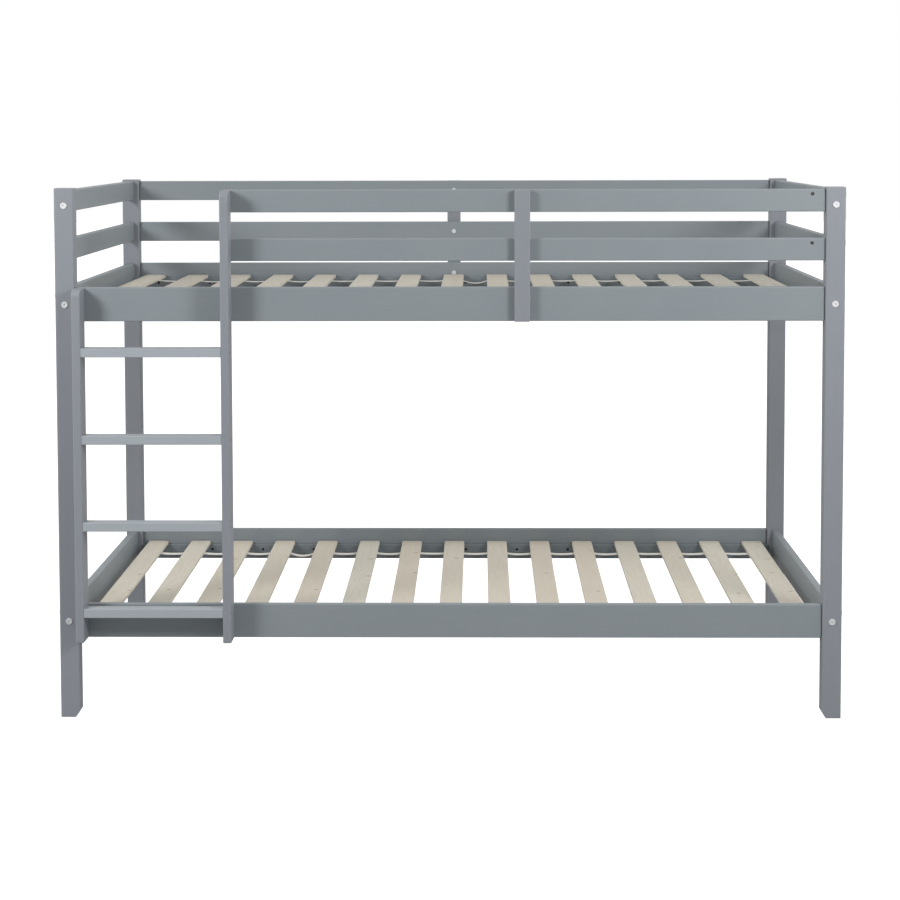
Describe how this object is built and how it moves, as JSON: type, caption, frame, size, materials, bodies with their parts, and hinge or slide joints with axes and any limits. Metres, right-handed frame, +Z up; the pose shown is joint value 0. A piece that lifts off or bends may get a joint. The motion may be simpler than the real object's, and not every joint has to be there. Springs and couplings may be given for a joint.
{
  "type": "bunk bed with ladder",
  "caption": "Low twin bunk bed of painted boards with corner posts, guard rails, a bolted front ladder and loose wooden slats on webbing.",
  "frame": {"origin": "on the floor, at the middle of the whole footprint, the ladder included", "axes": "+Z up, +X along the bed to its right-hand end seen from the ladder side, -Y towards the person at the ladder"},
  "size_m": [2.024, 1.129, 1.372],
  "materials": {
    "grey_paint": "satin grey paint over solid wood",
    "bare_wood": "planed bare softwood",
    "dowel_wood": "fluted hardwood dowel",
    "webbing": "woven cotton webbing",
    "zinc_steel": "bright zinc plated steel",
    "dark_screw": "dark phosphated steel screw"
  },
  "bodies": {
    "bed_frame": {"barrel_nuts": "zinc_steel", "end_board_bolts": "zinc_steel", "front_guard_rail_lower": "grey_paint", "front_guard_rail_top": "grey_paint", "front_guard_upright": "grey_paint", "ladder_bolts": "zinc_steel", "ladder_rung_1": "grey_paint", "ladder_rung_2": "grey_paint", "ladder_rung_3": "grey_paint", "ladder_rung_4": "grey_paint", "ladder_stile_left": "grey_paint", "ladder_stile_right": "grey_paint", "ledger_screws": "dark_screw", "left_end_lower_board": "grey_paint", "left_end_middle_slat": "grey_paint", "left_end_top_slat": "grey_paint", "left_end_upper_board": "grey_paint", "lower_front_ledger": "grey_paint", "lower_front_rail": "grey_paint", "lower_rear_ledger": "grey_paint", "lower_rear_rail": "grey_paint", "post_front_left": "grey_paint", "post_front_right": "grey_paint", "post_rear_left": "grey_paint", "post_rear_right": "grey_paint", "rail_bolts": "zinc_steel", "rear_guard_rail_lower": "grey_paint", "rear_guard_rail_top": "grey_paint", "rear_guard_upright": "grey_paint", "right_end_lower_board": "grey_paint", "right_end_middle_slat": "grey_paint", "right_end_top_slat": "grey_paint", "right_end_upper_board": "grey_paint", "rung_screws": "dark_screw", "upper_front_ledger": "grey_paint", "upper_front_rail": "grey_paint", "upper_rear_ledger": "grey_paint", "upper_rear_rail": "grey_paint", "upright_bolts": "zinc_steel", "wood_dowels": "dowel_wood"},
    "lower_slat_deck": {"lower_slat_01": "bare_wood", "lower_slat_02": "bare_wood", "lower_slat_03": "bare_wood", "lower_slat_04": "bare_wood", "lower_slat_05": "bare_wood", "lower_slat_06": "bare_wood", "lower_slat_07": "bare_wood", "lower_slat_08": "bare_wood", "lower_slat_09": "bare_wood", "lower_slat_10": "bare_wood", "lower_slat_11": "bare_wood", "lower_slat_12": "bare_wood", "lower_slat_13": "bare_wood", "lower_slat_14": "bare_wood", "lower_slat_15": "bare_wood", "lower_slat_straps": "webbing"},
    "upper_slat_deck": {"upper_slat_straps": "webbing", "upper_slats": "bare_wood"}
  },
  "joints": [
    {"name": "lower_slat_deck_lift", "type": "slide", "parent": "bed_frame", "child": "lower_slat_deck", "axis": [0, 0, 1], "range_m": [0, 0.1]},
    {"name": "upper_slat_deck_lift", "type": "slide", "parent": "bed_frame", "child": "upper_slat_deck", "axis": [0, 0, 1], "range_m": [0, 0.33]}
  ]
}
